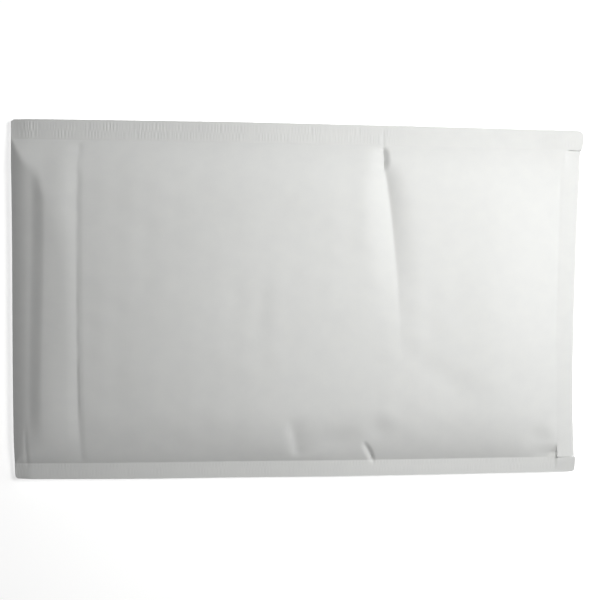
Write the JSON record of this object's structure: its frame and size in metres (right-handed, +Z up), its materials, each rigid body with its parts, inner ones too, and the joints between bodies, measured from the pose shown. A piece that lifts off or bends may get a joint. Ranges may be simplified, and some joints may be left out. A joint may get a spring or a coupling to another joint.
{
  "type": "padded envelope",
  "caption": "Closed padded mailing envelope lying on its back: plain paper face, crimped long edges, flat bottom fold and a flap stuck down behind.",
  "frame": {"origin": "under the middle of the pack, on the surface it lies on", "axes": "+X along the length towards the bottom fold, +Y across the width towards one crimped edge, +Z up out of the plain face"},
  "size_m": [0.225, 0.14, 0.0125],
  "materials": {
    "paper": "matte white kraft paper with faint creases"
  },
  "bodies": {
    "root": {"padded_envelope": "paper"}
  },
  "joints": []
}
